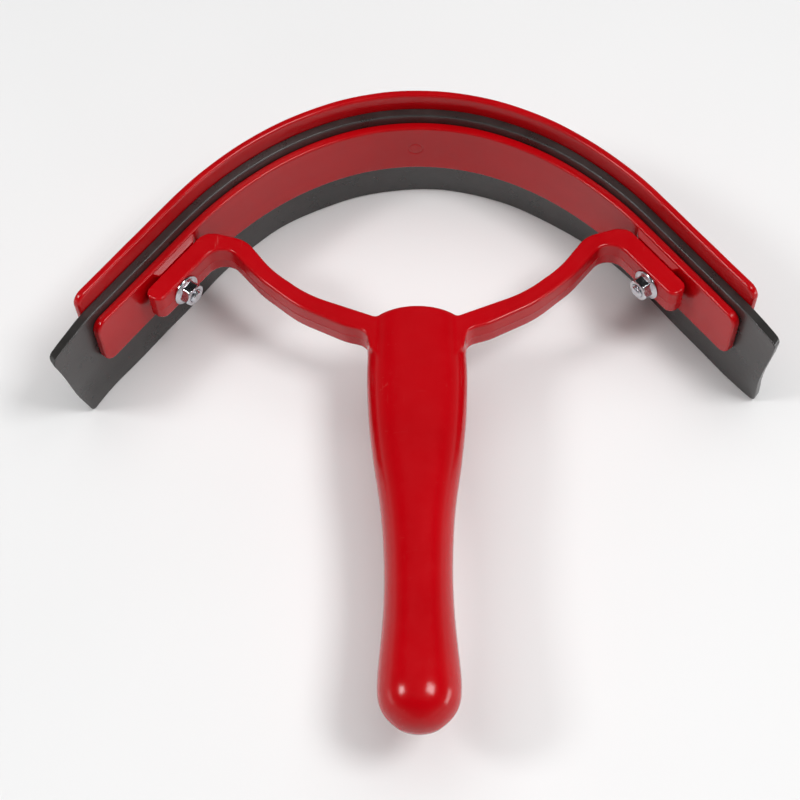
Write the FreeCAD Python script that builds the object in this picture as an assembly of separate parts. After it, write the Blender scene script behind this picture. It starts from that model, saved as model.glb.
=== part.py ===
import FreeCAD, Part
import math
import os
from FreeCAD import Vector as V

# Horse sweat scraper: a curved rubber blade clamped between two plastic strips
# at the end of a Y-shaped handle. Millimetres, +Z up. The scraper lies on its
# rubber scraping edge (Z = 0); the handle runs towards -Y, the crown of the
# blade's arc is at +Y. Everything is symmetric about the plane X = 0.

# ---------------------------------------------------------------- dimensions
# Blade profile, measured along the concave face of the rubber, from the crown
# outwards: three tangent arcs and then a straight wing on each side.
arc_radii = (84.0, 105.0, 141.0)     # radii of the three arcs
arc_ends = (30.0, 62.0, 100.0)       # developed length at the end of each arc

rubber_t = 3.5                       # rubber sheet thickness
rubber_w = 45.0                      # rubber width, Z 0 to 45
rubber_half = 168.0                  # developed half length at the top edge
rubber_slant = 4.0                   # scraping edge is this much shorter
rubber_corner_r = 2.2

strip_z0 = 18.2                      # lower edge of both strips
inner_t = 3.4                        # inner strip thickness
inner_z1 = 41.3                      # inner strip top edge
outer_t = 3.0                        # outer strip thickness
outer_z1 = 52.4                      # outer strip top edge
strip_half = 152.4                   # developed half length of the strips
strip_corner_r = 4.5
strip_edge_r = 0.8
outer_top_r = 1.1

# Raised seat on the inner strip under each foot, a low hipped pad.
pad_h = 1.4
pad_s0, pad_s1 = 100.4, 123.0        # base, along the strip
pad_top_s0, pad_top_s1 = 102.4, 121.0
pad_slope = 2.5                      # run of the slope on the long sides

# Bolts and nuts (M5)
bolt_s = 117.2                       # position along the strip
bolt_z = 32.0
bolt_d = 5.0
bolt_len = 25.0
bolt_clear_d = 5.4
head_d = 9.5
head_h = 3.2
nut_af = 8.0
nut_h = 5.0
nut_turn = 0.0                       # a corner points along the strip, a flat faces up
nut_flange_d = 11.8
nut_rim_t = 0.55                     # straight rim of the flange
nut_flange_t = 1.75                  # height of the flange's cone above the rim

# Handle frame
frame_z0, frame_z1 = 26.6, 38.4      # arms and feet, depth of the moulding
foot_t = 7.6
foot_end_s = 130.2                   # free end of the foot
foot_corner_r = 3.4
frame_edge_r = 1.0
grip_z = 32.5                        # height of the grip's axis
grip_end_r = 1.2                     # edge round the grip's end between the arms
handle_end_y = -238.4                # before the frame is centred
# grip stations: y, half width (X), half thickness (Z)
grip = (
    (-84.0, 17.15, 9.7), (-92.0, 17.3, 9.75), (-99.5, 17.45, 9.8),
    (-107.0, 17.6, 9.85), (-115.5, 17.4, 9.9), (-125.0, 16.9, 10.0),
    (-133.8, 16.1, 10.1), (-141.5, 15.2, 10.2), (-148.7, 14.2, 10.2),
    (-156.8, 13.05, 10.3), (-164.3, 12.25, 10.3), (-174.5, 11.6, 10.4),
    (-183.5, 11.35, 10.5), (-194.7, 11.5, 10.8), (-205.8, 12.2, 11.4),
    (-216.7, 13.15, 11.9), (-223.5, 13.5, 12.1), (-228.5, 12.95, 11.5),
    (-232.6, 11.0, 9.9), (-235.6, 8.1, 7.4), (-237.5, 5.0, 4.6),
    (-238.4, 1.6, 1.5),
)
# arm outlines for the right side, before the frame is centred: corners of the
# control polygon with the radius that rounds each. The arc side (upper) runs
# outwards to the foot, the grip side (lower) runs back inwards from the foot.
arm_upper = (
    (13.6, -85.9, 2.0), (38.5, -75.9, 45.0),
    (52.0, -65.0, 45.0), (61.8, -51.6, 12.0), (76.8, -47.1, 7.0),
)
arm_lower = (
    (70.9, -52.4, 6.6), (56.6, -69.6, 40.0), (43.2, -81.2, 40.0),
    (26.0, -89.9, 20.0), (18.3, -92.2, 5.0),
)
arm_top = (0.0, -85.7)
arm_root = (17.2, -98.0)

# centre of the bounding box goes to Y = 0
crown_y = -(handle_end_y + rubber_t + outer_t) / 2.0


# ------------------------------------------------------------------- profile
def profile(s, off):
    """Point on the right half of the profile, and its heading angle."""
    cx, cy, a, s0 = 0.0, -arc_radii[0], 0.0, 0.0
    for i, r in enumerate(arc_radii):
        if s <= arc_ends[i]:
            b = a + (s - s0) / r
            return cx + (r + off) * math.sin(b), cy + (r + off) * math.cos(b), b
        b = a + (arc_ends[i] - s0) / r
        if i < len(arc_radii) - 1:
            dr = arc_radii[i + 1] - r
            cx, cy = cx - dr * math.sin(b), cy - dr * math.cos(b)
        a, s0 = b, arc_ends[i]
    r = arc_radii[-1] + off
    x = cx + r * math.sin(a) + (s - s0) * math.cos(a)
    y = cy + r * math.cos(a) - (s - s0) * math.sin(a)
    return x, y, a


def at(side, s, off, z):
    x, y, a = profile(s, off)
    return V(side * x, y + crown_y, z)


def normal(side):
    a = profile(strip_half, 0)[2]
    return V(side * math.sin(a), math.cos(a), 0)


def offset_edges(off, half, z):
    """Edges of one offset curve from the left end to the right end."""
    def arc(sa, sb, side):
        return Part.Arc(at(side, sa, off, z), at(side, (sa + sb) / 2, off, z),
                        at(side, sb, off, z)).toShape()
    e = [Part.LineSegment(at(-1, half, off, z), at(-1, arc_ends[2], off, z)).toShape()]
    e.append(arc(arc_ends[2], arc_ends[1], -1))
    e.append(arc(arc_ends[1], arc_ends[0], -1))
    e.append(Part.Arc(at(-1, arc_ends[0], off, z), at(1, 0, off, z),
                      at(1, arc_ends[0], off, z)).toShape())
    e.append(arc(arc_ends[0], arc_ends[1], 1))
    e.append(arc(arc_ends[1], arc_ends[2], 1))
    e.append(Part.LineSegment(at(1, arc_ends[2], off, z), at(1, half, off, z)).toShape())
    return e


def band(off0, off1, half, z0, z1):
    """Curved plate between two offsets of the profile."""
    e = offset_edges(off0, half, z0) + offset_edges(off1, half, z0)
    for side in (-1, 1):
        e.append(Part.LineSegment(at(side, half, off0, z0), at(side, half, off1, z0)).toShape())
    wire = Part.Wire(Part.sortEdges(e)[0])
    return Part.Face(wire).extrude(V(0, 0, z1 - z0))


def across(edge, t):
    """True for a short straight edge that runs through the plate's thickness."""
    if not isinstance(edge.Curve, Part.Line):
        return False
    a, b = edge.Vertexes[0].Point, edge.Vertexes[-1].Point
    return abs(a.z - b.z) < 1e-6 and abs(edge.Length - t) < 1e-3


def round_corners(solid, t, r):
    ends = [e for e in solid.Edges if across(e, t)]
    return solid.makeFillet(r, ends)


def round_long(solid, t, r, pick=None):
    """Round the edges around both broad faces of a plate."""
    sel = []
    for e in solid.Edges:
        if across(e, t) or e.Length < 0.4:
            continue
        if pick is None or pick(e):
            sel.append(e)
    return solid.makeFillet(r, sel)


def rod(side, s, z, off_a, off_b, d):
    """Cylinder along the plate normal between two offsets."""
    n = normal(side)
    return Part.makeCylinder(d / 2.0, off_b - off_a, at(side, s, off_a, z), n)


# --------------------------------------------------------------------- blade
rubber = band(0.0, rubber_t, rubber_half, 0.0, rubber_w)
for side in (-1, 1):
    pts = [at(side, rubber_half - rubber_slant, -10, -1), at(side, rubber_half, -10, rubber_w),
           at(side, rubber_half, -10, rubber_w + 1), at(side, rubber_half + 20, -10, rubber_w + 1),
           at(side, rubber_half + 20, -10, -1)]
    cutter = Part.Face(Part.makePolygon(pts + [pts[0]])).extrude(normal(side) * 24)
    rubber = rubber.cut(cutter)
rubber = round_corners(rubber, rubber_t, rubber_corner_r)

outer = band(rubber_t, rubber_t + outer_t, strip_half, strip_z0, outer_z1)
outer = round_corners(outer, outer_t, strip_corner_r)
outer = round_long(outer, outer_t, outer_top_r)

inner = band(-inner_t, 0.0, strip_half, strip_z0, inner_z1)
inner = round_corners(inner, inner_t, strip_corner_r)
inner = round_long(inner, inner_t, strip_edge_r)

for side in (-1, 1):
    lo = [at(side, pad_s0, -inner_t + 0.9, strip_z0 + 0.9), at(side, pad_s1, -inner_t + 0.9, strip_z0 + 0.9),
          at(side, pad_s1, -inner_t + 0.9, inner_z1 - 0.9), at(side, pad_s0, -inner_t + 0.9, inner_z1 - 0.9)]
    mid = [at(side, pad_s0, -inner_t, strip_z0 + 0.9), at(side, pad_s1, -inner_t, strip_z0 + 0.9),
           at(side, pad_s1, -inner_t, inner_z1 - 0.9), at(side, pad_s0, -inner_t, inner_z1 - 0.9)]
    top = [at(side, pad_top_s0, -inner_t - pad_h, strip_z0 + pad_slope + 0.9),
           at(side, pad_top_s1, -inner_t - pad_h, strip_z0 + pad_slope + 0.9),
           at(side, pad_top_s1, -inner_t - pad_h, inner_z1 - pad_slope - 0.4),
           at(side, pad_top_s0, -inner_t - pad_h, inner_z1 - pad_slope - 0.4)]
    for a, b in ((lo, mid), (mid, top)):
        wa = Part.makePolygon(a + [a[0]])
        wb = Part.makePolygon(b + [b[0]])
        inner = inner.fuse(Part.makeLoft([wa, wb], True, True))
inner = inner.removeSplitter()

# -------------------------------------------------------------- handle frame
n0 = profile(strip_half, 0)
foot_out = -(inner_t + pad_h)
foot_in = foot_out - foot_t


def xy(side, p, z=None):
    return V(side * p[0], p[1] + crown_y, frame_z0 if z is None else z)


def rounded(points):
    """Lines and tangent arcs along a polygon; points are (Vector, radius)."""
    out = []
    last = points[0][0]
    for i in range(1, len(points) - 1):
        p, r = points[i]
        u = (points[i - 1][0] - p).normalize()
        w = (points[i + 1][0] - p).normalize()
        half = math.acos(max(-1.0, min(1.0, u.dot(w)))) / 2.0
        run = r / math.tan(half)
        a, b = p + u * run, p + w * run
        mid = p + (u + w).normalize() * (r / math.sin(half) - r)
        if (a - last).Length > 1e-4:
            out.append(Part.LineSegment(last, a).toShape())
        out.append(Part.Arc(a, mid, b).toShape())
        last = b
    out.append(Part.LineSegment(last, points[-1][0]).toShape())
    return out


def side_edges(side):
    """Outline of one arm with its foot, from the crown to the grip."""
    pts = [(xy(side, arm_top), 0)]
    pts += [(xy(side, p), p[2]) for p in arm_upper]
    pts += [(at(side, foot_end_s, foot_out, frame_z0), foot_corner_r),
            (at(side, foot_end_s, foot_in, frame_z0), foot_corner_r)]
    pts += [(xy(side, p), p[2]) for p in arm_lower]
    pts += [(xy(side, arm_root), 0)]
    return rounded(pts)


e = side_edges(1) + side_edges(-1)
e.append(Part.LineSegment(xy(1, arm_root), xy(-1, arm_root)).toShape())
plate = Part.Face(Part.Wire(Part.sortEdges(e)[0])).extrude(V(0, 0, frame_z1 - frame_z0))
long_edges = []
for ed in plate.Edges:
    b = ed.BoundBox
    if b.ZLength < 1e-6 and not (b.YLength < 1e-6 and b.XLength > 20):
        long_edges.append(ed)
plate = plate.makeFillet(frame_edge_r, long_edges)

sections = []
for y, w, h in grip:
    el = Part.Ellipse(V(0, y + crown_y, grip_z), max(w, h), min(w, h))
    sh = el.toShape()
    sh.rotate(V(0, y + crown_y, grip_z), V(1, 0, 0), 90)
    sections.append(Part.Wire([sh]))
grip_solid = Part.makeLoft(sections, True, False)
end = [e for e in grip_solid.Edges if e.BoundBox.YMin > crown_y + grip[0][0] - 0.01]
grip_solid = grip_solid.makeFillet(grip_end_r, end)
handle = plate.fuse(grip_solid).removeSplitter()

# ------------------------------------------------------------------ fasteners
bolts, nuts = {}, {}
for side, name in ((-1, "left"), (1, "right")):
    head_seat = rubber_t + outer_t
    hole = rod(side, bolt_s, bolt_z, foot_in - 5, rubber_t + outer_t + 5, bolt_clear_d)
    rubber = rubber.cut(hole)
    inner = inner.cut(hole)
    outer = outer.cut(hole)
    handle = handle.cut(hole)

    n = normal(side)
    shank = rod(side, bolt_s, bolt_z, head_seat - bolt_len, head_seat, bolt_d)
    tip = [e for e in shank.Edges if (e.BoundBox.Center - at(side, bolt_s, head_seat - bolt_len, bolt_z)).Length < 0.01]
    shank = shank.makeChamfer(0.6, tip)
    head = rod(side, bolt_s, bolt_z, head_seat, head_seat + head_h, head_d)
    crown = [e for e in head.Edges if (e.BoundBox.Center - at(side, bolt_s, head_seat + head_h, bolt_z)).Length < 0.01]
    head = head.makeFillet(1.5, crown)
    bolts["bolt_" + name] = shank.fuse(head).removeSplitter()

    rim = Part.makeCylinder(nut_flange_d / 2.0, nut_rim_t, at(side, bolt_s, foot_in, bolt_z), n * -1)
    flange = Part.makeCone(nut_flange_d / 2.0, nut_af / 2.0, nut_flange_t,
                           at(side, bolt_s, foot_in - nut_rim_t, bolt_z), n * -1).fuse(rim)
    t = V(side * math.cos(n0[2]), -math.sin(n0[2]), 0)
    ra = nut_af / math.sqrt(3.0)
    c = at(side, bolt_s, foot_in, bolt_z)
    pts = []
    for i in range(6):
        ang = math.radians(60 * i + nut_turn)
        pts.append(c + t * (ra * math.cos(ang)) + V(0, 0, ra * math.sin(ang)))
    hexa = Part.Face(Part.makePolygon(pts + [pts[0]])).extrude(n * -nut_h)
    dome = Part.makeCone(ra + 1.9, ra - 0.35, nut_h, c, n * -1)
    hexa = hexa.common(dome)
    nut = hexa.fuse(flange).cut(rod(side, bolt_s, bolt_z, foot_in - 12, foot_in + 2, bolt_d))
    nuts["nut_" + name] = nut.removeSplitter()

# --------------------------------------------------------------------- output
os.makedirs("parts", exist_ok=True)
nodes = {"outer_strip": outer, "rubber_blade": rubber, "inner_strip": inner, "handle_frame": handle}
nodes.update(bolts)
nodes.update(nuts)
lo = [1e9] * 3
hi = [-1e9] * 3
for name, shape in nodes.items():
    solids = shape.Solids
    if len(solids) == 1:
        shape = solids[0]
    b = shape.BoundBox
    lo = [min(lo[0], b.XMin), min(lo[1], b.YMin), min(lo[2], b.ZMin)]
    hi = [max(hi[0], b.XMax), max(hi[1], b.YMax), max(hi[2], b.ZMax)]
    print(name, "solids", len(solids), "valid", shape.isValid(), "volume %.1f" % shape.Volume,
          "box %.1f %.1f %.1f .. %.1f %.1f %.1f" % (b.XMin, b.YMin, b.ZMin, b.XMax, b.YMax, b.ZMax))
    shape.exportStep("parts/" + name + ".step")
print("all", [round(v, 2) for v in lo], [round(v, 2) for v in hi], "crown_y", crown_y)
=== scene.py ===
import math

import bpy
import bmesh
import numpy as np
from mathutils import Matrix, Vector


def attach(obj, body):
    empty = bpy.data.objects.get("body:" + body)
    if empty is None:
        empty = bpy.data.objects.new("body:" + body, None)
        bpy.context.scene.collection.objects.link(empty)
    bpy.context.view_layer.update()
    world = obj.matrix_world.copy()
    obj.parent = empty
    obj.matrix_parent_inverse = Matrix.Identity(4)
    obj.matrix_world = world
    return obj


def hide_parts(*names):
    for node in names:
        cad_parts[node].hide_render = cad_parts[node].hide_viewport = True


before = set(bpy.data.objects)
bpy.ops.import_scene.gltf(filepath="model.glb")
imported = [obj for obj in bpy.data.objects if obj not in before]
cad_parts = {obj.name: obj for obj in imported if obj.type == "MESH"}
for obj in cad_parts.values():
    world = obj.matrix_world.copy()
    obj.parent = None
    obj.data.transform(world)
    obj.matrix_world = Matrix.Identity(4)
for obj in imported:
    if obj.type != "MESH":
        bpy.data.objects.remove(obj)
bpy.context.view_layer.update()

# Horse sweat scraper. Shapes are worked out in millimetres in the part's own
# frame and scaled to metres when a mesh is made.
MM = 0.001
CY = 115.95                       # Y of the rubber's concave face at the crown

# ------------------------------------------------------------------ profile
RAD = (84.0, 105.0, 141.0)
END = (30.0, 62.0, 100.0)
_A = [0.0]
_C = [np.array([0.0, -RAD[0]])]
_s0 = 0.0
for _i in range(3):
    _b = _A[-1] + (END[_i] - _s0) / RAD[_i]
    _A.append(_b)
    if _i < 2:
        _C.append(_C[-1] - (RAD[_i + 1] - RAD[_i]) * np.array([math.sin(_b), math.cos(_b)]))
    _s0 = END[_i]
WING = _A[-1]                     # heading of the straight wings
WN = np.array([math.sin(WING), math.cos(WING)])
WT = np.array([math.cos(WING), -math.sin(WING)])


def prof(s, off):
    """Points on the profile for signed developed length s and offset off; also the heading."""
    s = np.asarray(s, float)
    off = np.broadcast_to(np.asarray(off, float), s.shape)
    a = np.abs(s)
    x = np.zeros_like(a)
    y = np.zeros_like(a)
    h = np.zeros_like(a)
    start = 0.0
    for i in range(3):
        m = (a >= start) & (a <= END[i] if i < 2 else a <= END[2])
        b = _A[i] + (a - start) / RAD[i]
        x = np.where(m, _C[i][0] + (RAD[i] + off) * np.sin(b), x)
        y = np.where(m, _C[i][1] + (RAD[i] + off) * np.cos(b), y)
        h = np.where(m, b, h)
        start = END[i]
    m = a > END[2]
    r = RAD[2] + off
    x = np.where(m, _C[2][0] + r * WN[0] + (a - END[2]) * WT[0], x)
    y = np.where(m, _C[2][1] + r * WN[1] + (a - END[2]) * WT[1], y)
    h = np.where(m, WING, h)
    return np.where(s < 0, -x, x), y + CY, h


def place(v):
    """(s, z, off) rows to XYZ in millimetres."""
    x, y, _ = prof(v[:, 0], v[:, 2])
    return np.c_[x, y, v[:, 1]]


# ------------------------------------------------------------- mesh helpers
def make(name, verts, faces, smooth=True, attrs=None):
    me = bpy.data.meshes.new(name)
    me.from_pydata([tuple(p) for p in (np.asarray(verts) * MM)], [], [tuple(int(i) for i in f) for f in faces])
    me.update()
    bm = bmesh.new()
    bm.from_mesh(me)
    bmesh.ops.recalc_face_normals(bm, faces=bm.faces)
    bm.to_mesh(me)
    bm.free()
    if attrs:
        for key, val in attrs.items():
            at = me.attributes.new(key, "FLOAT_VECTOR", "POINT")
            at.data.foreach_set("vector", np.asarray(val, np.float32).ravel())
    me.polygons.foreach_set("use_smooth", [smooth] * len(me.polygons))
    ob = bpy.data.objects.new(name, me)
    bpy.context.scene.collection.objects.link(ob)
    return ob


def apply_mods(ob):
    dg = bpy.context.evaluated_depsgraph_get()
    dg.update()
    new = bpy.data.meshes.new_from_object(ob.evaluated_get(dg), preserve_all_data_layers=True, depsgraph=dg)
    old = ob.data
    ob.modifiers.clear()
    ob.data = new
    bpy.data.meshes.remove(old)


def cut(ob, cutters):
    """Boolean difference with each cutter mesh object, which is then removed."""
    for c in cutters:
        m = ob.modifiers.new("cut", "BOOLEAN")
        m.operation = "DIFFERENCE"
        m.solver = "EXACT"
        m.object = c
    apply_mods(ob)
    for c in cutters:
        me = c.data
        bpy.data.objects.remove(c)
        bpy.data.meshes.remove(me)


def finish_shading(ob, angle=32.0):
    ob.data.polygons.foreach_set("use_smooth", [True] * len(ob.data.polygons))
    ob.data.set_sharp_from_angle(angle=math.radians(angle))
    m = ob.modifiers.new("normals", "WEIGHTED_NORMAL")
    m.weight = 100
    m.keep_sharp = True
    m.thresh = 0.01
    apply_mods(ob)


def cylinder(side, s, z, off0, off1, r, n=48):
    """Cutter along the plate normal on a straight wing."""
    x, y, _ = prof(np.array([side * s]), 0.0)
    base = np.array([x[0], y[0], z])
    ax = np.array([side * WN[0], WN[1], 0.0])
    t = np.array([side * WT[0], WT[1], 0.0])
    k = np.array([0.0, 0.0, 1.0])
    ring = [t * math.cos(a) * r + k * math.sin(a) * r for a in np.linspace(0, 2 * math.pi, n, endpoint=False)]
    v = [base + ax * off0 + p for p in ring] + [base + ax * off1 + p for p in ring]
    f = [(i, (i + 1) % n, n + (i + 1) % n, n + i) for i in range(n)]
    f += [tuple(range(n)), tuple(range(2 * n - 1, n - 1, -1))]
    return make("cutter", v, f, smooth=False)


def plate(L, z0, z1, a, b, R, r, S, Z, NC=7, NR=4, mids=1):
    """Plate with rounded corners R and rounded edges r. Returns (s, z, off) rows, faces, face-A mask and face-B mask."""
    S = np.asarray(S, float)
    Z = np.asarray(Z, float)
    nS, nZ = len(S), len(Z)
    ang = np.linspace(0, math.pi / 2, NC + 1)

    def loop(d):
        q = R - d
        out = [(s, z0 + d) for s in S]
        out += [(L - R + q * math.sin(t), z0 + R - q * math.cos(t)) for t in ang[1:]]
        out += [(L - d, z) for z in Z]
        out += [(L - R + q * math.cos(t), z1 - R + q * math.sin(t)) for t in ang[:-1]]
        out += [(s, z1 - d) for s in S[::-1]]
        out += [(-(L - R) - q * math.sin(t), z1 - R + q * math.cos(t)) for t in ang[1:]]
        out += [(-(L - d), z) for z in Z[::-1]]
        out += [(-(L - R) - q * math.cos(t), z0 + R - q * math.sin(t)) for t in ang[:-1]]
        return out

    K = 2 * nS + 4 * NC + 2 * nZ
    steps = [(r + 0.25, a), (r, a)]
    for k in range(1, NR + 1):
        p = math.pi / 2 * k / NR
        steps.append((r * (1 - math.sin(p)), a + r * (1 - math.cos(p))))
    for k in range(1, mids + 1):
        steps.append((0.0, a + r + (b - a - 2 * r) * k / (mids + 1)))
    for k in range(NR, -1, -1):
        p = math.pi / 2 * k / NR
        steps.append((r * (1 - math.sin(p)), b - r * (1 - math.cos(p))))
    steps.append((r + 0.25, b))
    v, faces = [], []
    for d, off in steps:
        v += [(s, z, off) for s, z in loop(d)]
    n = len(steps)
    for j in range(n - 1):
        for i in range(K):
            i2 = (i + 1) % K
            faces.append((j * K + i, j * K + i2, (j + 1) * K + i2, (j + 1) * K + i))
    # columns across the broad faces
    iBR, iRE = nS, nS + NC
    iTR = iRE + nZ
    iTS = iTR + NC
    iTL = iTS + nS
    iLE = iTL + NC
    iBL = iLE + nZ
    cols = []
    for j in range(NC):
        top = iTL + NC - 1 - j if j < NC else None
        cols.append((iBL + j, top))
    for i in range(nS):
        cols.append((i, iTS + nS - 1 - i))
    for j in range(1, NC + 1):
        cols.append((iBR + j - 1, iTR + NC - j))
    edgeL = [iLE + nZ - 1 - j for j in range(nZ)]
    edgeR = [iRE + j for j in range(nZ)]
    maskA, maskB = set(), set()
    for base, off, mask in ((0, a, maskA), ((n - 1) * K, b, maskB)):
        grid = []
        for c, (lo, hi) in enumerate(cols):
            if c == 0:
                mid = [base + e for e in edgeL]
            elif c == len(cols) - 1:
                mid = [base + e for e in edgeR]
            else:
                mid = []
                s = v[base + lo][0]
                for z in Z:
                    mid.append(len(v))
                    mask.add(len(v))
                    v.append((s, z, off))
            grid.append([base + lo] + mid + [base + hi])
        for c in range(len(grid) - 1):
            for j in range(len(grid[c]) - 1):
                faces.append((grid[c][j], grid[c + 1][j], grid[c + 1][j + 1], grid[c][j + 1]))
    return np.array(v, float), faces, maskA, maskB


def stations(lim, step, extra=()):
    n = int(math.ceil(lim / step))
    base = list(np.linspace(0, lim, n + 1))
    for lo, hi, st in extra:
        base = [q for q in base if q < lo - st * 0.7 or q > hi + st * 0.7]
        m = int(round((hi - lo) / st))
        base += list(np.linspace(lo, hi, m + 1))
    half = np.unique(np.round(sorted(base), 5))
    return np.array(sorted(set((-half).tolist() + half.tolist())))


def smooth01(t):
    t = np.clip(t, 0, 1)
    return t * t * (3 - 2 * t)


# ---------------------------------------------------------------- materials
def new_mat(name):
    m = bpy.data.materials.new(name)
    m.use_nodes = True
    nt = m.node_tree
    nt.nodes.clear()
    out = nt.nodes.new("ShaderNodeOutputMaterial")
    bs = nt.nodes.new("ShaderNodeBsdfPrincipled")
    nt.links.new(bs.outputs[0], out.inputs[0])
    return m, nt, bs


def N(nt, kind, **kw):
    n = nt.nodes.new(kind)
    for k, v in kw.items():
        if k.startswith("_"):
            n.inputs[k[1:].replace("_", " ")].default_value = v
        else:
            setattr(n, k, v)
    return n


def noise(nt, vec, scale, detail=3.0, rough=0.5, dist=0.0):
    n = N(nt, "ShaderNodeTexNoise")
    n.inputs["Scale"].default_value = scale
    n.inputs["Detail"].default_value = detail
    n.inputs["Roughness"].default_value = rough
    n.inputs["Distortion"].default_value = dist
    nt.links.new(vec, n.inputs["Vector"])
    return n.outputs["Fac"]


def ramp(nt, fac, stops, interp="LINEAR"):
    n = N(nt, "ShaderNodeValToRGB")
    n.color_ramp.interpolation = interp
    el = n.color_ramp.elements
    while len(el) > 1:
        el.remove(el[-1])
    el[0].position = stops[0][0]
    el[0].color = stops[0][1] if len(stops[0][1]) == 4 else (*stops[0][1], 1)
    for p, c in stops[1:]:
        e = el.new(p)
        e.color = c if len(c) == 4 else (*c, 1)
    nt.links.new(fac, n.inputs[0])
    return n.outputs[0]


def remap(nt, fac, a, b, c, d, clamp=True):
    n = N(nt, "ShaderNodeMapRange")
    n.clamp = clamp
    for i, v in zip((1, 2, 3, 4), (a, b, c, d)):
        n.inputs[i].default_value = v
    nt.links.new(fac, n.inputs[0])
    return n.outputs[0]


def math2(nt, op, a, b):
    n = N(nt, "ShaderNodeMath", operation=op)
    for i, v in enumerate((a, b)):
        if isinstance(v, (int, float)):
            n.inputs[i].default_value = v
        else:
            nt.links.new(v, n.inputs[i])
    return n.outputs[0]


def mixc(nt, fac, a, b, mode="MIX"):
    n = N(nt, "ShaderNodeMix", data_type="RGBA", blend_type=mode)
    for sock, v in ((n.inputs[0], fac), (n.inputs[6], a), (n.inputs[7], b)):
        if isinstance(v, (int, float)):
            sock.default_value = v
        elif isinstance(v, tuple):
            sock.default_value = (*v, 1)
        else:
            nt.links.new(v, sock)
    return n.outputs[2]


def bump(nt, height, dist, strength=1.0, prev=None):
    n = N(nt, "ShaderNodeBump")
    n.inputs["Strength"].default_value = strength
    n.inputs["Distance"].default_value = dist
    nt.links.new(height, n.inputs["Height"])
    if prev is not None:
        nt.links.new(prev, n.inputs["Normal"])
    return n.outputs[0]


def scaled(nt, vec, sc, rot=(0, 0, 0)):
    n = N(nt, "ShaderNodeMapping")
    n.inputs["Scale"].default_value = sc
    n.inputs["Rotation"].default_value = rot
    nt.links.new(vec, n.inputs["Vector"])
    return n.outputs[0]


def red_plastic(name, vec_attr=None, base=(0.44, 0.0005, 0.0030), dark=(0.37, 0.0004, 0.0024), rough=(0.13, 0.25), wear=1.0):
    """Glossy moulded plastic: slight tint drift, faint orange peel, handling scratches and dust specks."""
    m, nt, bs = new_mat(name)
    tc = N(nt, "ShaderNodeTexCoord")
    obj = tc.outputs["Object"]
    if vec_attr:
        at = N(nt, "ShaderNodeAttribute", attribute_name=vec_attr)
        flow = at.outputs["Vector"]
    else:
        flow = obj
    big = noise(nt, obj, 22, 2, 0.5)
    mid = noise(nt, obj, 160, 4, 0.6)
    col = ramp(nt, big, [(0.3, dark), (0.7, base)])
    col = mixc(nt, remap(nt, mid, 0.35, 0.75, 0.0, 0.22), col, (base[0] * 1.08, base[1] * 1.4, base[2] * 1.4))
    # faint flow lines along the moulding
    fl = noise(nt, scaled(nt, flow, (9, 260, 260)), 1.0, 2, 0.5)
    col = mixc(nt, remap(nt, fl, 0.5, 0.8, 0.0, 0.10), col, dark)
    # pale scuffs and specks
    sc1 = noise(nt, scaled(nt, flow, (60, 900, 900), (0.0, 0.0, 0.35)), 1.0, 2, 0.55, 0.3)
    sc2 = noise(nt, scaled(nt, flow, (700, 75, 700), (0.0, 0.25, -0.5)), 1.0, 2, 0.55, 0.3)
    patch = noise(nt, obj, 55, 2, 0.5)
    gate = remap(nt, patch, 0.52, 0.66, 0.0, 1.0)
    s1 = math2(nt, "MULTIPLY", remap(nt, sc1, 0.66, 0.74, 0.0, 1.0), gate)
    s2 = math2(nt, "MULTIPLY", remap(nt, sc2, 0.68, 0.75, 0.0, 1.0), gate)
    scr = math2(nt, "MAXIMUM", s1, s2)
    vor = N(nt, "ShaderNodeTexVoronoi", feature="F1")
    vor.inputs["Scale"].default_value = 95
    nt.links.new(obj, vor.inputs["Vector"])
    speck = remap(nt, vor.outputs["Distance"], 0.018, 0.045, 1.0, 0.0)
    pick = N(nt, "ShaderNodeSeparateColor")
    nt.links.new(vor.outputs["Color"], pick.inputs[0])
    speck = math2(nt, "MULTIPLY", speck, remap(nt, pick.outputs[0], 0.80, 0.84, 0.0, 1.0))
    pale = math2(nt, "MAXIMUM", math2(nt, "MULTIPLY", scr, 0.10 * wear), math2(nt, "MULTIPLY", speck, 0.30 * wear))
    col = mixc(nt, pale, col, (0.78, 0.34, 0.30))
    nt.links.new(col, bs.inputs["Base Color"])
    fine = noise(nt, obj, 420, 3, 0.6)
    rg = remap(nt, mid, 0.3, 0.75, rough[0], rough[1])
    rg = math2(nt, "ADD", rg, math2(nt, "MULTIPLY", scr, 0.20 * wear))
    rg = math2(nt, "ADD", rg, math2(nt, "MULTIPLY", remap(nt, fine, 0.5, 0.8, 0.0, 1.0), 0.04))
    nt.links.new(rg, bs.inputs["Roughness"])
    bs.inputs["IOR"].default_value = 1.38
    bs.inputs["Specular IOR Level"].default_value = 0.5
    # orange peel, sink ripples and scratch grooves
    b1 = bump(nt, noise(nt, obj, 330, 2, 0.5), 0.000018)
    b2 = bump(nt, big, 0.00022, 1.0, b1)
    b3 = bump(nt, math2(nt, "MULTIPLY", scr, -1.0), 0.000012, 1.0, b2)
    nt.links.new(b3, bs.inputs["Normal"])
    return m


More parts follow.
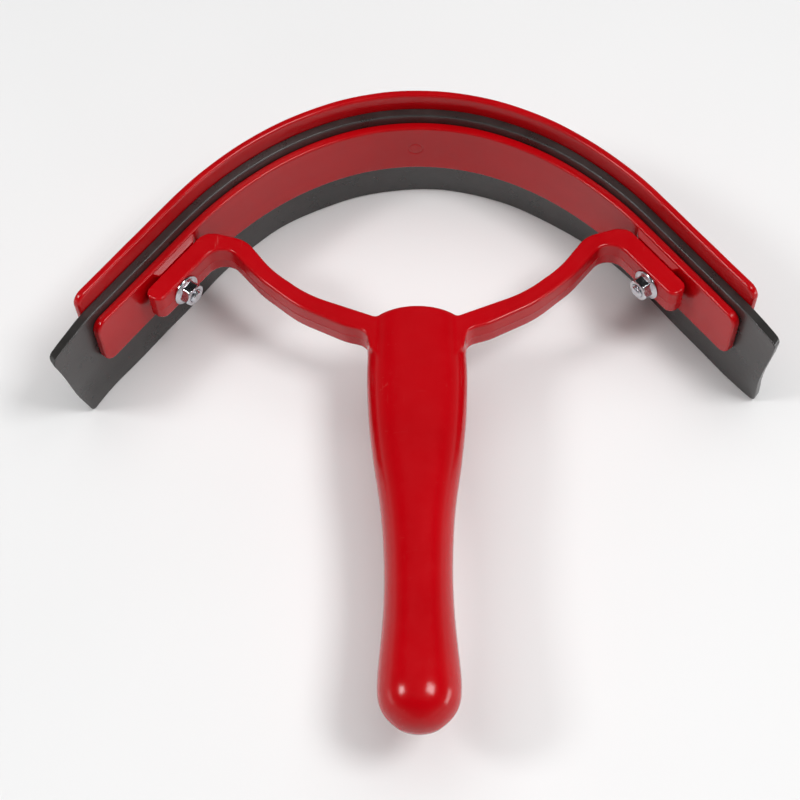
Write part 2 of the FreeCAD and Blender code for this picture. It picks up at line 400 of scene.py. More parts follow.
def rubber_mat(name):
    """Matte black sheet rubber: mottled, fine calendered grain, dusty wiped streaks, pale scratches and specks."""
    m, nt, bs = new_mat(name)
    tc = N(nt, "ShaderNodeTexCoord")
    obj = tc.outputs["Object"]
    at = N(nt, "ShaderNodeAttribute", attribute_name="sheet")
    flow = at.outputs["Vector"]
    mott = noise(nt, obj, 120, 5, 0.65)
    big = noise(nt, obj, 18, 3, 0.55)
    col = ramp(nt, mott, [(0.25, (0.015, 0.0138, 0.0132)), (0.55, (0.025, 0.0232, 0.0222)), (0.85, (0.040, 0.037, 0.035))])
    dust = noise(nt, scaled(nt, flow, (26, 150, 150), (0, 0, 0.9)), 1.0, 4, 0.6, 0.6)
    dust = math2(nt, "MULTIPLY", remap(nt, dust, 0.48, 0.78, 0.0, 1.0), remap(nt, big, 0.38, 0.62, 0.15, 1.0))
    col = mixc(nt, math2(nt, "MULTIPLY", dust, 0.55), col, (0.062, 0.058, 0.052))
    scr = noise(nt, scaled(nt, flow, (35, 1100, 1100), (0, 0, 0.75)), 1.0, 2, 0.5, 0.2)
    scr = remap(nt, scr, 0.66, 0.72, 0.0, 1.0)
    col = mixc(nt, math2(nt, "MULTIPLY", scr, 0.35), col, (0.10, 0.095, 0.088))
    vor = N(nt, "ShaderNodeTexVoronoi", feature="F1")
    vor.inputs["Scale"].default_value = 210
    nt.links.new(obj, vor.inputs["Vector"])
    pick = N(nt, "ShaderNodeSeparateColor")
    nt.links.new(vor.outputs["Color"], pick.inputs[0])
    speck = math2(nt, "MULTIPLY", remap(nt, vor.outputs["Distance"], 0.03, 0.09, 1.0, 0.0), remap(nt, pick.outputs[1], 0.82, 0.86, 0.0, 1.0))
    col = mixc(nt, math2(nt, "MULTIPLY", speck, 0.5), col, (0.15, 0.145, 0.135))
    nt.links.new(col, bs.inputs["Base Color"])
    rg = remap(nt, mott, 0.25, 0.8, 0.23, 0.40)
    rg = math2(nt, "ADD", rg, math2(nt, "MULTIPLY", dust, 0.12))
    nt.links.new(rg, bs.inputs["Roughness"])
    bs.inputs["IOR"].default_value = 1.62
    bs.inputs["Specular IOR Level"].default_value = 0.5
    grain = noise(nt, obj, 1900, 2, 0.6)
    b1 = bump(nt, grain, 0.00003)
    b2 = bump(nt, mott, 0.00010, 1.0, b1)
    b3 = bump(nt, scr, -0.00002, 1.0, b2)
    nt.links.new(b3, bs.inputs["Normal"])
    return m


def zinc(name, axis_attr=False):
    """Bright zinc plating: cold-formed steel with fine grain, faint blue-violet passivation and dulled patches."""
    m, nt, bs = new_mat(name)
    tc = N(nt, "ShaderNodeTexCoord")
    obj = tc.outputs["Object"]
    n1 = noise(nt, obj, 700, 4, 0.6)
    n2 = noise(nt, obj, 2600, 3, 0.6)
    col = ramp(nt, n1, [(0.30, (0.44, 0.45, 0.50)), (0.55, (0.58, 0.59, 0.62)), (0.75, (0.68, 0.66, 0.65))])
    nt.links.new(col, bs.inputs["Base Color"])
    bs.inputs["Metallic"].default_value = 1.0
    rg = remap(nt, n1, 0.3, 0.75, 0.12, 0.27)
    rg = math2(nt, "ADD", rg, math2(nt, "MULTIPLY", remap(nt, n2, 0.5, 0.75, 0.0, 1.0), 0.06))
    nt.links.new(rg, bs.inputs["Roughness"])
    b1 = bump(nt, n2, 0.000012)
    b2 = bump(nt, n1, 0.00004, 1.0, b1)
    nt.links.new(b2, bs.inputs["Normal"])
    return m


M_STRIP = red_plastic("red_strip_plastic", "sheet", wear=1.0)
M_FRAME = red_plastic("red_handle_plastic", None, base=(0.46, 0.0005, 0.0038), dark=(0.40, 0.0004, 0.003), rough=(0.13, 0.22), wear=0.6)
M_RUB = rubber_mat("black_sheet_rubber")
M_ZINC = zinc("bright_zinc")

pieces = {}

# ------------------------------------------------------------- rubber blade
S = stations(168.0 - 2.2, 2.2)
Z = np.linspace(3.2, 41.8, 15)
v, f, ma, mb = plate(168.0, 0.0, 45.0, 0.0, 3.5, 2.2, 0.45, S, Z, NC=5, NR=3)
sheet = v.copy()
side = np.sign(v[:, 0])
a_s = np.abs(v[:, 0])
k = 1.0 - (4.0 / 168.0) * (1.0 - v[:, 1] / 45.0)
# the free ends past the strips curl inwards a little and are slightly wavy
free = np.clip((a_s - 149.0) / 19.0, 0, 1.05) ** 2
tz = v[:, 1] / 45.0
curl = np.where(side < 0, -1.5 - 1.9 * tz, 0.5 - 2.1 * tz)
wave = np.where(side < 0, 0.50, 0.35) * np.sin(tz * 2 * math.pi * 1.05 + np.where(side < 0, 0.8, 2.4))
low = smooth01((18.0 - v[:, 1]) / 18.0)
lip = 0.30 * np.sin(v[:, 0] / 14.0 + 0.7) + 0.14 * np.sin(v[:, 0] / 5.3)
lean = np.where(side < 0, -1.6, 0.75) * smooth01((a_s - 50.0) / 50.0)
bevel = 0.32 * v[:, 2]
v[:, 2] += free * (curl + wave) + low * (lip * 0.8 + lean)
# the cut ends: a touch longer than the nominal length because they curl, slightly uneven
edge = smooth01((a_s - 158.0) / 10.0)
grow = np.where(side < 0, 0.9 * (1 - tz) + 6.1 * tz, 2.2 * (1 - tz) + 1.9 * tz) - bevel
v[:, 0] = v[:, 0] * k + side * edge * (grow + 0.30 * np.sin(v[:, 1] / 6.3 + side * 1.3))
xyz = place(v)
xyz[:, 0] = np.clip(xyz[:, 0], -126.9, 126.9)
rubber = make("rubber_blade_sheet", xyz, f, attrs={"sheet": sheet * MM})
cut(rubber, [cylinder(sd, 117.2, 32.0, -6, 8, 2.7) for sd in (-1, 1)])
finish_shading(rubber, 40)
rubber.data.materials.clear(); rubber.data.materials.append(M_RUB)
pieces["rubber_blade"] = rubber

# -------------------------------------------------------------- outer strip
S = stations(152.4 - 4.5, 2.2)
Z = np.linspace(24.0, 47.3, 7)
v, f, ma, mb = plate(152.4, 18.2, 52.4, 3.5, 6.5, 4.5, 1.1, S, Z, NC=8, NR=5)
sheet = v.copy()
# slight unevenness of the trimmed top edge
top = smooth01((v[:, 1] - 50.0) / 2.4)
v[:, 1] -= top * (0.09 + 0.05 * np.sin(v[:, 0] / 9.0) + 0.03 * np.sin(v[:, 0] / 3.1 + 1.0))
outer = make("outer_strip_moulding", place(v), f, attrs={"sheet": sheet * MM})
cut(outer, [cylinder(sd, 117.2, 32.0, 0, 9, 2.7) for sd in (-1, 1)])
finish_shading(outer)
outer.data.materials.clear(); outer.data.materials.append(M_STRIP)
pieces["outer_strip"] = outer

# -------------------------------------------------------------- inner strip
PS0, PS1, PT0, PT1, PH = 100.4, 123.0, 102.4, 121.0, 1.4
PZ0, PZ1, PQ0, PQ1 = 19.1, 40.4, 21.6, 38.4
gs = list(np.arange(0.0, 3.61, 0.22))
S = stations(152.4 - 4.5, 2.2, extra=((0.0, 3.6, 0.24), (99.9, 103.0, 0.26), (120.4, 123.5, 0.26)))
Z = sorted(set([round(z, 4) for z in list(np.linspace(23.5, 26.0, 3)) + list(np.arange(26.2, 33.3, 0.24)) + [34.2, 35.2, 36.2, 36.75]]))
v, f, ma, mb = plate(152.4, 18.2, 41.3, -3.4, 0.0, 4.5, 0.8, S, Z, NC=8, NR=4)
sheet = v.copy()
# gate mark: a shallow ring with a small pip
on = np.isclose(v[:, 2], -3.4)
rr = np.hypot(v[:, 0], v[:, 1] - 29.7)
v[:, 2] += np.where(on, 0.22 * np.exp(-((rr - 2.75) / 0.34) ** 2) - 0.10 * np.exp(-(rr / 0.5) ** 2), 0)
inner = make("inner_strip_moulding", place(v), f, attrs={"sheet": sheet * MM})
pieces["inner_strip"] = inner


def pad(side):
    """Low hipped pad on the inner strip; rounded creases, its base sunk into the strip."""
    n = 7
    us = [PS0, PS0 + 0.12] + list(np.linspace(PS0 + 0.4, PT0 - 0.25, n)) + [PT0 - 0.08, PT0 + 0.12, PT0 + 0.5]
    us += list(np.linspace(PT0 + 2, PT1 - 2, 8)) + [PT1 - 0.5, PT1 - 0.12, PT1 + 0.08] + list(np.linspace(PT1 + 0.25, PS1 - 0.4, n)) + [PS1 - 0.12, PS1]
    zs = [PZ0, PZ0 + 0.12] + list(np.linspace(PZ0 + 0.4, PQ0 - 0.25, n)) + [PQ0 - 0.08, PQ0 + 0.12, PQ0 + 0.5]
    zs += list(np.linspace(PQ0 + 2, PQ1 - 2, 6)) + [PQ1 - 0.5, PQ1 - 0.12, PQ1 + 0.08] + list(np.linspace(PQ1 + 0.2, PZ1 - 0.3, n)) + [PZ1 - 0.1, PZ1]
    U, W = np.meshgrid(us, zs, indexing="ij")
    h = np.minimum.reduce([(U - PS0) / (PT0 - PS0), (PS1 - U) / (PS1 - PT1), (W - PZ0) / (PQ0 - PZ0), (PZ1 - W) / (PZ1 - PQ1), np.ones_like(U)])
    # rounded minimum
    ks = 14.0
    parts = np.stack([(U - PS0) / (PT0 - PS0), (PS1 - U) / (PS1 - PT1), (W - PZ0) / (PQ0 - PZ0), (PZ1 - W) / (PZ1 - PQ1), np.ones_like(U)])
    soft = -np.log(np.exp(-ks * np.clip(parts, 0, 3)).sum(0)) / ks
    h = np.clip(np.where(h <= 0, 0, soft), 0, 1) * PH
    nu, nz = U.shape
    top = np.c_[(side * U).ravel(), W.ravel(), (-3.4 - h).ravel()]
    verts = list(top)
    faces = [(i * nz + j, (i + 1) * nz + j, (i + 1) * nz + j + 1, i * nz + j + 1) for i in range(nu - 1) for j in range(nz - 1)]
    rim = [i * nz for i in range(nu)] + [(nu - 1) * nz + j for j in range(1, nz)] + [i * nz + nz - 1 for i in range(nu - 2, -1, -1)] + [j for j in range(nz - 2, 0, -1)]
    low = []
    for q in rim:
        low.append(len(verts))
        p = verts[q]
        verts.append(np.array([p[0], p[1], -3.4 + 0.6]))
    m = len(rim)
    for i in range(m):
        faces.append((rim[i], rim[(i + 1) % m], low[(i + 1) % m], low[i]))
    faces.append(tuple(low))
    return np.array(verts), faces


for sd in (-1, 1):
    pv, pf = pad(sd)
    po = make("pad", place(pv), pf, attrs={"sheet": pv * MM})
    mod = inner.modifiers.new("u", "BOOLEAN")
    mod.operation = "UNION"
    mod.solver = "EXACT"
    mod.object = po
    apply_mods(inner)
    pm = po.data
    bpy.data.objects.remove(po)
    bpy.data.meshes.remove(pm)
cut(inner, [cylinder(sd, 117.2, 32.0, -7, 3, 2.7) for sd in (-1, 1)])
finish_shading(inner, 24)
inner.data.materials.clear(); inner.data.materials.append(M_STRIP)

# ------------------------------------------------------------- handle frame
F_ZC = 32.5
F_HALF = 5.9
F_R = 1.0
GRIP = (
    (-78.0, 17.1, 9.75), (-86.0, 17.2, 9.75), (-92.0, 17.3, 9.75), (-99.5, 17.45, 9.8), (-107.0, 17.6, 9.85), (-115.5, 17.4, 9.9),
    (-125.0, 16.9, 10.0), (-133.8, 16.1, 10.1), (-141.5, 15.2, 10.2),
    (-148.7, 14.2, 10.2), (-156.8, 13.05, 10.3), (-164.3, 12.25, 10.3),
    (-174.5, 11.6, 10.4), (-183.5, 11.35, 10.5), (-194.7, 11.5, 10.8),
    (-205.8, 12.2, 11.4), (-216.7, 13.15, 11.9), (-223.5, 13.45, 12.05),
    (-228.5, 12.9, 11.5), (-232.6, 11.0, 9.9), (-235.6, 8.1, 7.4),
    (-237.5, 5.0, 4.6),
)
TIP_Y = -238.4


def spline(xk, yk):
    """Natural cubic spline through the knots, linear beyond them."""
    xk, yk = np.asarray(xk, float), np.asarray(yk, float)
    o = np.argsort(xk)
    xk, yk = xk[o], yk[o]
    n = len(xk)
    h = np.diff(xk)
    A = np.zeros((n, n))
    B = np.zeros(n)
    A[0, 0] = A[-1, -1] = 1
    for i in range(1, n - 1):
        A[i, i - 1], A[i, i], A[i, i + 1] = h[i - 1], 2 * (h[i - 1] + h[i]), h[i]
        B[i] = 6 * ((yk[i + 1] - yk[i]) / h[i] - (yk[i] - yk[i - 1]) / h[i - 1])
    M = np.linalg.solve(A, B)

    def ev(x):
        x = np.asarray(x, float)
        i = np.clip(np.searchsorted(xk, x) - 1, 0, n - 2)
        t0, t1, hh = x - xk[i], xk[i + 1] - x, h[i]
        out = (M[i] * t1 ** 3 + M[i + 1] * t0 ** 3) / (6 * hh) + (yk[i] / hh - M[i] * hh / 6) * t1 + (yk[i + 1] / hh - M[i + 1] * hh / 6) * t0
        s_lo = (yk[1] - yk[0]) / h[0] - h[0] * (2 * M[0] + M[1]) / 6
        s_hi = (yk[-1] - yk[-2]) / h[-1] + h[-1] * (M[-2] + 2 * M[-1]) / 6
        out = np.where(x < xk[0], yk[0] + s_lo * (x - xk[0]), out)
        return np.where(x > xk[-1], yk[-1] + s_hi * (x - xk[-1]), out)
    return ev


_gy = np.array([g[0] for g in GRIP])
_gw = np.array([g[1] for g in GRIP])
_gh = np.array([g[2] for g in GRIP])
W2 = spline(np.r_[_gy, TIP_Y + 0.06], np.r_[_gw ** 2, 0.0])
QQ = spline(_gy, _gh / _gw)


def foot_pt(s, off):
    x, y, _ = prof(np.array([s]), off)
    return np.array([x[0], y[0] - CY])


UPPER = ((13.6, -85.9, 2.0), (38.5, -75.9, 45.0), (52.0, -65.0, 45.0), (61.8, -51.6, 12.0), (76.8, -47.1, 7.0))
LOWER = ((70.9, -52.4, 6.6), (56.6, -69.6, 40.0), (43.2, -81.2, 40.0), (26.0, -89.9, 20.0), (17.9, -92.2, 5.0))
poly = [((-30.0, -85.7), 0)]
poly += [((p[0], p[1]), p[2]) for p in UPPER]
poly += [(tuple(foot_pt(130.2, -4.8)), 3.4), (tuple(foot_pt(130.2, -12.4)), 3.4)]
poly += [((p[0], p[1]), p[2]) for p in LOWER]
poly += [((16.9, -98.6), 3.0), ((10.0, -109.0), 3.0), ((-30.0, -111.0), 0)]


def outline(points):
    """Lines and tangent arcs: ('L', a, b) or ('A', centre, r, mid direction, half angle)."""
    prim, fine = [], []
    last = np.array(points[0][0])
    fine.append(last)
    for i in range(1, len(points) - 1):
        p, r = np.array(points[i][0]), points[i][1]
        u = np.array(points[i - 1][0]) - p
        w = np.array(points[i + 1][0]) - p
        u, w = u / np.linalg.norm(u), w / np.linalg.norm(w)
        half = math.acos(max(-1.0, min(1.0, float(u @ w)))) / 2
        run = r / math.tan(half)
        a, b = p + u * run, p + w * run
        m = (u + w) / np.linalg.norm(u + w)
        c = p + m * (r / math.sin(half))
        prim.append(("L", last, a))
        ha = math.pi / 2 - half
        prim.append(("A", c, r, -m, ha))
        base = math.atan2(-m[1], -m[0])
        ta = math.atan2(*(a - c)[::-1]) - base
        ta = (ta + math.pi) % (2 * math.pi) - math.pi
        sg = 1 if ta > 0 else -1
        nseg = max(4, int(2 * ha / 0.03))
        for t in np.linspace(sg * ha, -sg * ha, nseg + 1):
            fine.append(c + r * np.array([math.cos(base + t), math.sin(base + t)]))
        last = b
    prim.append(("L", last, np.array(points[-1][0])))
    fine.append(np.array(points[-1][0]))
    return prim, np.array(fine)


PRIM, FINE = outline(poly)
FP0 = foot_pt(130.2, 0.0)
FN = (foot_pt(130.2, 1.0) - foot_pt(130.2, 0.0))


def d2(x, y):
    """Signed distance to the frame's outline; x is already |x|, y uncentred."""
    P = np.stack([x, y], -1)
    best = np.full(x.shape, 1e9)
    for pr in PRIM:
        if pr[0] == "L":
            a, b = pr[1], pr[2]
            ab = b - a
            L2 = float(ab @ ab)
            if L2 < 1e-12:
                continue
            t = np.clip(((P - a) @ ab) / L2, 0, 1)
            d = np.linalg.norm(P - a - t[..., None] * ab, axis=-1)
        else:
            c, r, m, ha = pr[1], pr[2], pr[3], pr[4]
            q = P - c
            L = np.linalg.norm(q, axis=-1)
            cosang = (q @ m) / np.maximum(L, 1e-9)
            d = np.where(cosang >= math.cos(ha) - 1e-9, np.abs(L - r), 1e9)
        best = np.minimum(best, d)
    inside = np.zeros(x.shape, bool)
    px, py = FINE[:, 0], FINE[:, 1]
    for i in range(len(FINE)):
        j = (i + 1) % len(FINE)
        y0, y1, x0, x1 = py[i], py[j], px[i], px[j]
        if y0 == y1:
            continue
        c = (y0 > y) != (y1 > y)
        if not c.any():
            continue
        xi = x0 + (y - y0) * (x1 - x0) / (y1 - y0)
        inside ^= c & (x < xi)
    return np.where(inside, -best, best)


def smin(a, b, k):
    h = np.clip(0.5 + 0.5 * (b - a) / k, 0, 1)
    return b + (a - b) * h - k * h * (1 - h)


def smax(a, b, k):
    return -smin(-a, -b, k)


def grip_f(x, y, z):
    w2, q = W2(y), QQ(y)
    F = x ** 2 + ((z - F_ZC) / q) ** 2 - w2
    e = 0.05
    dw = (W2(y + e) - W2(y - e)) / (2 * e)
    dq = (QQ(y + e) - QQ(y - e)) / (2 * e)
    gx = 2 * x
    gz = 2 * (z - F_ZC) / q ** 2
    gy = -2 * (z - F_ZC) ** 2 * dq / q ** 3 - dw
    g = np.sqrt(gx ** 2 + gy ** 2 + gz ** 2)
    d = F / np.maximum(g, 6.0)
    wall = (y - (-83.6 - x ** 2 / 140.0))
    return smax(np.clip(d, -9, 30), wall, 1.9)


def frame_f(x, y, z, dd=None):
    """Signed field of the moulding; y uncentred."""
    ax = np.abs(x)
    if dd is None:
        dd = d2(ax, y)
    dz = np.abs(z - F_ZC)
    # draft on the side walls, and the thin flash line where the mould closes
    off = (ax - FP0[0]) * FN[0] + (y - FP0[1]) * FN[1]
    back = smooth01((off + 8.6) / 2.6) * smooth01((ax - 74.0) / 6.0)
    side_d = dd + (0.045 * dz - 0.10 * np.exp(-(dz / 0.22) ** 2)) * (1 - back) + 0.02
    # the edge that lies against the pad of the strip is sharper than the others
    rad = F_R - 0.62 * back
    w0, w1 = side_d + rad, dz - F_HALF + rad
    pl = np.minimum(np.maximum(w0, w1), 0) + np.sqrt(np.maximum(w0, 0) ** 2 + np.maximum(w1, 0) ** 2) - rad
    gr = grip_f(ax, y, z) - 0.07 * np.exp(-(dz / 0.22) ** 2)
    return smin(pl, gr, 1.0)


def nets(xs, ys, zs, f):
    """Surface nets on a rectilinear grid."""
    nx, ny, nz = f.shape
    s = f < 0
    act = np.zeros((nx - 1, ny - 1, nz - 1), bool)
    c0 = s[:-1, :-1, :-1]
    for i in (0, 1):
        for j in (0, 1):
            for k in (0, 1):
                act |= s[i:nx - 1 + i, j:ny - 1 + j, k:nz - 1 + k] != c0
    idx = np.full(act.shape, -1, np.int64)
    cells = np.argwhere(act)
    idx[act] = np.arange(len(cells))
    acc = np.zeros((len(cells), 3))
    cnt = np.zeros(len(cells))
    I, J, K = cells.T
    for axis in range(3):
        for a in (0, 1):
            for b in (0, 1):
                o0 = [0, 0, 0]
                other = [q for q in range(3) if q != axis]
                o0[other[0]], o0[other[1]] = a, b
                o1 = list(o0)
                o1[axis] = 1
                f0 = f[I + o0[0], J + o0[1], K + o0[2]]
                f1 = f[I + o1[0], J + o1[1], K + o1[2]]
                m = (f0 < 0) != (f1 < 0)
                t = np.where(m, f0 / np.where(m, f0 - f1, 1), 0)
                p0 = np.stack([xs[I + o0[0]], ys[J + o0[1]], zs[K + o0[2]]], -1)
                p1 = np.stack([xs[I + o1[0]], ys[J + o1[1]], zs[K + o1[2]]], -1)
                acc += np.where(m[:, None], p0 + (p1 - p0) * t[:, None], 0)
                cnt += m
    V = acc / cnt[:, None]
    faces = []
    m = s[:-1, 1:-1, 1:-1] != s[1:, 1:-1, 1:-1]
    q = np.argwhere(m)
    i, j, k = q[:, 0], q[:, 1] + 1, q[:, 2] + 1
    flip = s[i, j, k]
    fx = np.stack([idx[i, j - 1, k - 1], idx[i, j, k - 1], idx[i, j, k], idx[i, j - 1, k]], -1)
    faces.append(np.where(flip[:, None], fx, fx[:, ::-1]))
    m = s[1:-1, :-1, 1:-1] != s[1:-1, 1:, 1:-1]
    q = np.argwhere(m)
    i, j, k = q[:, 0] + 1, q[:, 1], q[:, 2] + 1
    flip = s[i, j, k]
    fy = np.stack([idx[i - 1, j, k - 1], idx[i - 1, j, k], idx[i, j, k], idx[i, j, k - 1]], -1)
    faces.append(np.where(flip[:, None], fy, fy[:, ::-1]))
    m = s[1:-1, 1:-1, :-1] != s[1:-1, 1:-1, 1:]
    q = np.argwhere(m)
    i, j, k = q[:, 0] + 1, q[:, 1] + 1, q[:, 2]
    flip = s[i, j, k]
    fz = np.stack([idx[i - 1, j - 1, k], idx[i, j - 1, k], idx[i, j, k], idx[i - 1, j, k]], -1)
    faces.append(np.where(flip[:, None], fz, fz[:, ::-1]))
    return V, np.concatenate(faces)


H = 0.8
xs = np.arange(-104.0, 104.01, H)
ys = np.arange(-240.5, -38.0, H)
zt = [0.0, 0.13, 0.3, 0.55, 1.0]
while zt[-1] < 14.0:
    zt.append(zt[-1] + H)
zs = F_ZC + np.array(sorted(set([-q for q in zt] + zt)))
X2, Y2 = np.meshgrid(np.abs(xs), ys, indexing="ij")
DD = d2(X2, Y2)
fld = frame_f(X2[:, :, None] + 0 * zs, Y2[:, :, None] + 0 * zs, zs[None, None, :] + 0 * X2[:, :, None], DD[:, :, None] + 0 * zs)
V, Fc = nets(xs, ys, zs, fld)


def value(P):
    out = np.empty(len(P))
    for a in range(0, len(P), 20000):
        q = P[a:a + 20000]
        out[a:a + 20000] = frame_f(q[:, 0], q[:, 1], q[:, 2])
    return out


def gradient(P, e=0.03):
    g = np.empty_like(P)
    for c in range(3):
        d = np.zeros(3)
        d[c] = e
        g[:, c] = (value(P + d) - value(P - d)) / (2 * e)
    return g


for _ in range(3):
    g = gradient(V)
    g2 = np.maximum((g ** 2).sum(1), 0.2)
    V = V - np.clip(value(V) / g2, -0.5, 0.5)[:, None] * g
g = gradient(V, 0.05)
nrm = g / np.linalg.norm(g, axis=1)[:, None]
V[:, 1] += CY
handle = make("handle_frame_moulding", V, Fc)
cut(handle, [cylinder(sd, 117.2, 32.0, -14, 0, 2.7, 40) for sd in (-1, 1)])
# normals from the field, except around the bolt holes
me = handle.data
co = np.empty(len(me.vertices) * 3)
me.vertices.foreach_get("co", co)
co = co.reshape(-1, 3) / MM
co[:, 1] -= CY
vn = np.empty(len(me.vertices) * 3)
me.vertices.foreach_get("normal", vn)
vn = vn.reshape(-1, 3)
g = gradient(co, 0.05)
ln = np.linalg.norm(g, axis=1)
gn = g / np.maximum(ln, 1e-6)[:, None]
hx, hy, _ = prof(np.array([117.2]), -8.6)
near = np.zeros(len(co), bool)
for sd in (-1, 1):
    q = co - np.array([sd * hx[0], hy[0] - CY, 32.0])
    ax = np.array([sd * WN[0], WN[1], 0.0])
    rad = np.linalg.norm(q - (q @ ax)[:, None] * ax, axis=1)
    near |= (rad < 3.2) & (np.abs(q @ ax) < 6)
gn[near] = vn[near]
me.polygons.foreach_set("use_smooth", [True] * len(me.polygons))
me.normals_split_custom_set_from_vertices([tuple(q) for q in gn])
handle.data.materials.clear(); handle.data.materials.append(M_FRAME)
pieces["handle_frame"] = handle


# ---------------------------------------------------------------- fasteners
def axis_frame(side, s, z):
    x, y, _ = prof(np.array([side * s]), 0.0)
    c = np.array([x[0], y[0], z])
    n = np.array([side * WN[0], WN[1], 0.0])       # outwards, towards the head
    t = np.array([side * WT[0], WT[1], 0.0])
    k = np.array([0.0, 0.0, 1.0])
    return c, n, t, k


def ringed(side, rings, caps=(True, True), phase=0.0):
    """Surface through rings of equal count: rings are lists of (off, radius array)."""
    c, n, t, k = axis_frame(side, 117.2, 32.0)
    m = len(rings[0][1])
    ang = np.linspace(0, 2 * math.pi, m, endpoint=False) + phase
    v, f = [], []
    for off, rad in rings:
        off = np.broadcast_to(off, (m,))
        for a, r, o in zip(ang, rad, off):
            v.append(c + n * o + t * (r * math.cos(a)) + k * (r * math.sin(a)))
    for j in range(len(rings) - 1):
        for i in range(m):
            i2 = (i + 1) % m
            f.append((j * m + i, j * m + i2, (j + 1) * m + i2, (j + 1) * m + i))
    if caps[0]:
        f.append(tuple(range(m)))
    if caps[1]:
        b = (len(rings) - 1) * m
        f.append(tuple(b + i for i in range(m - 1, -1, -1)))
    return v, f


def bolt(side, name):
    m = 48
    ang = np.linspace(0, 2 * math.pi, m, endpoint=False)
    pitch, major, minor = 0.8, 2.5, 2.07
    tip, seat = 6.5 - 25.0, 6.5
    rings = []
    n = 12
    offs = np.concatenate([np.arange(tip, tip + 15.0, pitch / n), [tip + 15.4, 3.6, 5.4, seat]])
    # flat end, then chamfer, thread, plain shank
    rings.append((tip, np.full(m, 1.15)))
    rings.append((tip, np.full(m, 1.72)))
    for o in offs[1:]:
        ph = (((o - tip) / pitch) - ang / (2 * math.pi) * (1 if side > 0 else -1)) % 1.0
        tri = np.abs(ph * 2 - 1)
        w = np.clip((tri - 0.12) / 0.70, 0, 1)
        w = w * w * (3 - 2 * w) * 0.35 + w * 0.65
        r = minor + (major - minor) * w
        lim = 1.78 + (o - tip) * 1.0
        r = np.minimum(r, lim)
        if o > tip + 14.0:
            r = np.full(m, 2.24) if o < tip + 15.2 else np.full(m, 2.3)
        rings.append((o, r))
    # under-head fillet and pan head
    head = [(seat, 2.6), (seat, 4.55), (seat + 0.1, 4.69), (seat + 0.35, 4.75), (seat + 1.2, 4.75)]
    for t in np.linspace(0.12, 1, 7):
        a = t * math.pi / 2
        head.append((seat + 1.2 + 1.75 * math.sin(a) ** 1.0, 4.75 - 2.0 * (1 - math.cos(a))))
    head += [(seat + 3.05, 2.2), (seat + 3.14, 1.4), (seat + 3.19, 0.6)]
    for o, r in head:
        rings.append((o, np.full(m, r)))
    v, f = ringed(side, rings)
    ob = make(name, v, f)
    # cross recess: two tapered bars
    c, nn, t, k = axis_frame(side, 117.2, 32.0)
    cutters = []
    for ang0 in (0.35, 0.35 + math.pi / 2):
        u = t * math.cos(ang0) + k * math.sin(ang0)
        w = -t * math.sin(ang0) + k * math.cos(ang0)
        vv = []
        for o, hl, hw in ((seat + 1.0, 1.0, 0.36), (seat + 4.2, 2.75, 0.62)):
            for su, sw in ((-1, -1), (1, -1), (1, 1), (-1, 1)):
                vv.append(c + nn * o + u * su * hl + w * sw * hw)
        ff = [(0, 1, 2, 3), (4, 5, 6, 7), (0, 1, 5, 4), (1, 2, 6, 5), (2, 3, 7, 6), (3, 0, 4, 7)]
        cutters.append(make("cutter", vv, ff, smooth=False))
    for q in cutters:
        cut(ob, [q])
    finish_shading(ob, 28)
    ob.data.materials.clear(); ob.data.materials.append(M_ZINC)
    return ob


def nut(side, name):
    m = 96
    ang = np.linspace(0, 2 * math.pi, m, endpoint=False)
    af, base = 8.0, -12.4
    rot = 0.0
    p = 26.0
    hexr = (af / 2) / (sum(np.abs(np.cos(ang - rot - math.pi / 6 - i * math.pi / 3)) ** p * (np.cos(ang - rot - math.pi / 6 - i * math.pi / 3) > 0) for i in range(6)) ** (1 / p))
    hexr = np.minimum(hexr, 4.46)
    rings = []
    bore = np.full(m, 2.52)
    # washer face, rim, conical flange, blended into the hexagon
    rings.append((base, bore + 0.35))
    rings.append((base, np.full(m, 5.45)))
    rings.append((base - 0.06, np.full(m, 5.72)))
    rings.append((base - 0.28, np.full(m, 5.86)))
    rings.append((base - 0.55, np.full(m, 5.86)))
    rings.append((base - 0.78, np.full(m, 5.70)))
    for h in (0.88, 1.02, 1.16, 1.3, 1.44, 1.58):
        cone = 5.62 - (h - 0.78) * 2.1
        rings.append((base - h, np.maximum(np.full(m, cone), hexr + 0.05 * (1.7 - h))))
    rings.append((base - 1.9, hexr))
    rings.append((base - 3.6, hexr))
    for h in (4.2, 4.4, 4.6, 4.75, 4.86, 4.94, 5.0):
        lim = 4.62 - (h - 4.2) * 0.95 if h < 4.75 else 4.62 - 0.52 - (h - 4.75) * 2.2
        rings.append((base - h, np.minimum(hexr, lim)))
    rings.append((base - 5.00, np.full(m, 3.1)))
    rings.append((base - 4.92, np.full(m, 2.75)))
    rings.append((base - 4.65, bore))
    rings.append((base - 0.30, bore))
    rings.append((base, bore + 0.35))
    v, f = ringed(side, rings, caps=(False, False))
    ob = make(name, v, f)
    bm = bmesh.new()
    bm.from_mesh(ob.data)
    bmesh.ops.remove_doubles(bm, verts=bm.verts, dist=1e-7)
    bmesh.ops.recalc_face_normals(bm, faces=bm.faces)
    bm.to_mesh(ob.data)
    bm.free()
    finish_shading(ob, 30)
    ob.data.materials.clear(); ob.data.materials.append(M_ZINC)
    return ob


for sd, nm in ((-1, "left"), (1, "right")):
    pieces["bolt_" + nm] = bolt(sd, "bolt_" + nm + "_threaded")
    pieces["nut_" + nm] = nut(sd, "nut_" + nm + "_flanged")

for node, ob in pieces.items():
    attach(ob, "root")
    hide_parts(node)

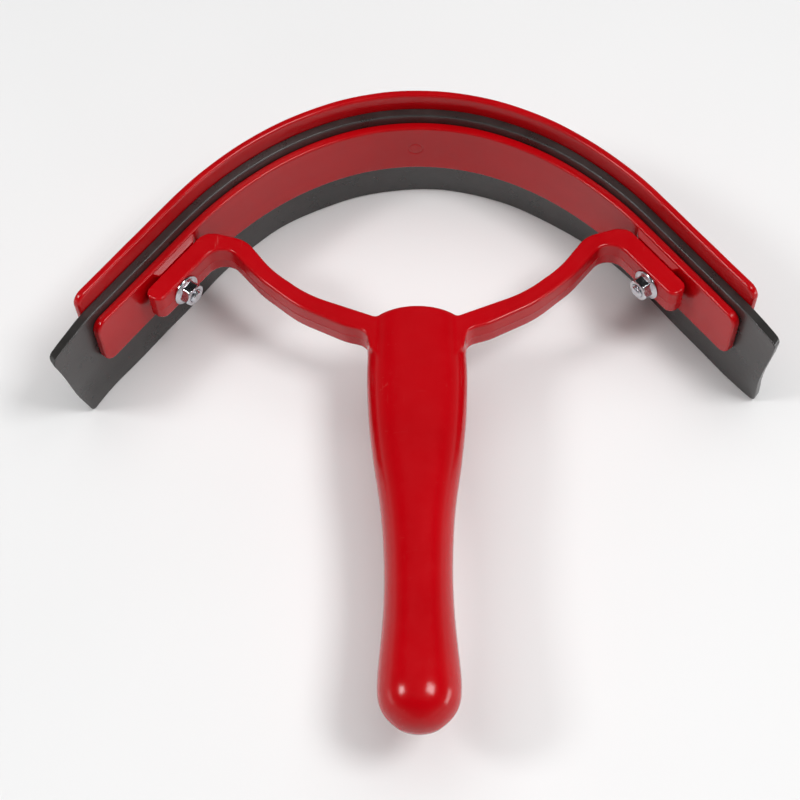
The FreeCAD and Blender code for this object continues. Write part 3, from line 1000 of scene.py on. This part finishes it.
# -------------------------------------------------------------------- stage
fm, nt, bs = new_mat("pale_floor")
tc = N(nt, "ShaderNodeTexCoord")
fn = noise(nt, tc.outputs["Object"], 3.0, 3, 0.5)
fc = ramp(nt, fn, [(0.3, (0.80, 0.80, 0.80)), (0.7, (0.84, 0.84, 0.84))])
nt.links.new(fc, bs.inputs["Base Color"])
nt.links.new(remap(nt, fn, 0.3, 0.7, 0.75, 0.85), bs.inputs["Roughness"])
bs.inputs["Specular IOR Level"].default_value = 0.2
fl = bpy.data.meshes.new("floor")
q = 6.0
fl.from_pydata([(-q, -q, -0.0004), (q, -q, -0.0004), (q, q, -0.0004), (-q, q, -0.0004)], [], [(0, 1, 2, 3)])
floor = bpy.data.objects.new("floor", fl)
bpy.context.scene.collection.objects.link(floor)
fl.materials.append(fm)

world = bpy.data.worlds.new("studio")
bpy.context.scene.world = world
world.use_nodes = True
nt = world.node_tree
nt.nodes.clear()
wo = nt.nodes.new("ShaderNodeOutputWorld")
bg = nt.nodes.new("ShaderNodeBackground")
tc = nt.nodes.new("ShaderNodeTexCoord")
sx = nt.nodes.new("ShaderNodeSeparateXYZ")
nt.links.new(tc.outputs["Generated"], sx.inputs[0])
wc = ramp(nt, sx.outputs[2], [(0.0, (0.92, 0.92, 0.92)), (0.10, (0.80, 0.80, 0.80)), (0.30, (0.22, 0.22, 0.22)), (0.55, (0.035, 0.035, 0.035)), (1.0, (0.010, 0.010, 0.010))])
nt.links.new(wc, bg.inputs[0])
bg.inputs[1].default_value = 1.0
nt.links.new(bg.outputs[0], wo.inputs[0])


def softbox(name, direction, dist, size, power, target=(0, 0.01, 0.03), size_y=None, color=(1, 1, 1)):
    li = bpy.data.lights.new(name, "AREA")
    li.energy = power
    li.size = size
    if size_y:
        li.shape = "RECTANGLE"
        li.size_y = size_y
    li.color = color
    ob = bpy.data.objects.new(name, li)
    bpy.context.scene.collection.objects.link(ob)
    d = Vector(direction).normalized()
    ob.location = Vector(target) + d * dist
    ob.rotation_euler = (-d).to_track_quat("-Z", "Y").to_euler()
    ob.visible_camera = False
    return ob


softbox("key_left", (-0.68, -0.12, 0.71), 1.15, 0.24, 3.6)
softbox("key_right", (0.46, -0.14, 0.87), 1.15, 0.34, 5.6)
fill = softbox("fill_top", (0.02, 0.12, 0.99), 1.5, 2.2, 19.0)
fill.visible_glossy = False
softbox("low_left", (-0.97, -0.22, 0.10), 1.1, 0.55, 0.55, size_y=0.22)
softbox("low_right", (0.97, -0.22, 0.10), 1.1, 0.55, 2.4, size_y=0.22)

# ------------------------------------------------------------------- camera
cam = bpy.data.cameras.new("camera")
cam.sensor_width = 36.0
cam.lens = 73.56415
cam.shift_x = -0.05
cam.shift_y = 0.05
cam.clip_start = 0.01
cam.clip_end = 50
co = bpy.data.objects.new("camera", cam)
bpy.context.scene.collection.objects.link(co)
rt = Vector((0.99991578, -0.01288121, -0.00158251))
up = Vector((0.01201242, 0.87245555, 0.48854582))
vd = Vector((0.00491239, 0.48852368, -0.87253681))
mw = Matrix.Identity(4)
for i in range(3):
    mw[i][0], mw[i][1], mw[i][2] = rt[i], up[i], -vd[i]
mw[0][3], mw[1][3], mw[2][3] = 0.004957, -0.292388, 0.523495
co.matrix_world = mw
bpy.context.scene.camera = co
bpy.context.scene.view_settings.view_transform = "Standard"
bpy.context.scene.view_settings.look = "None"
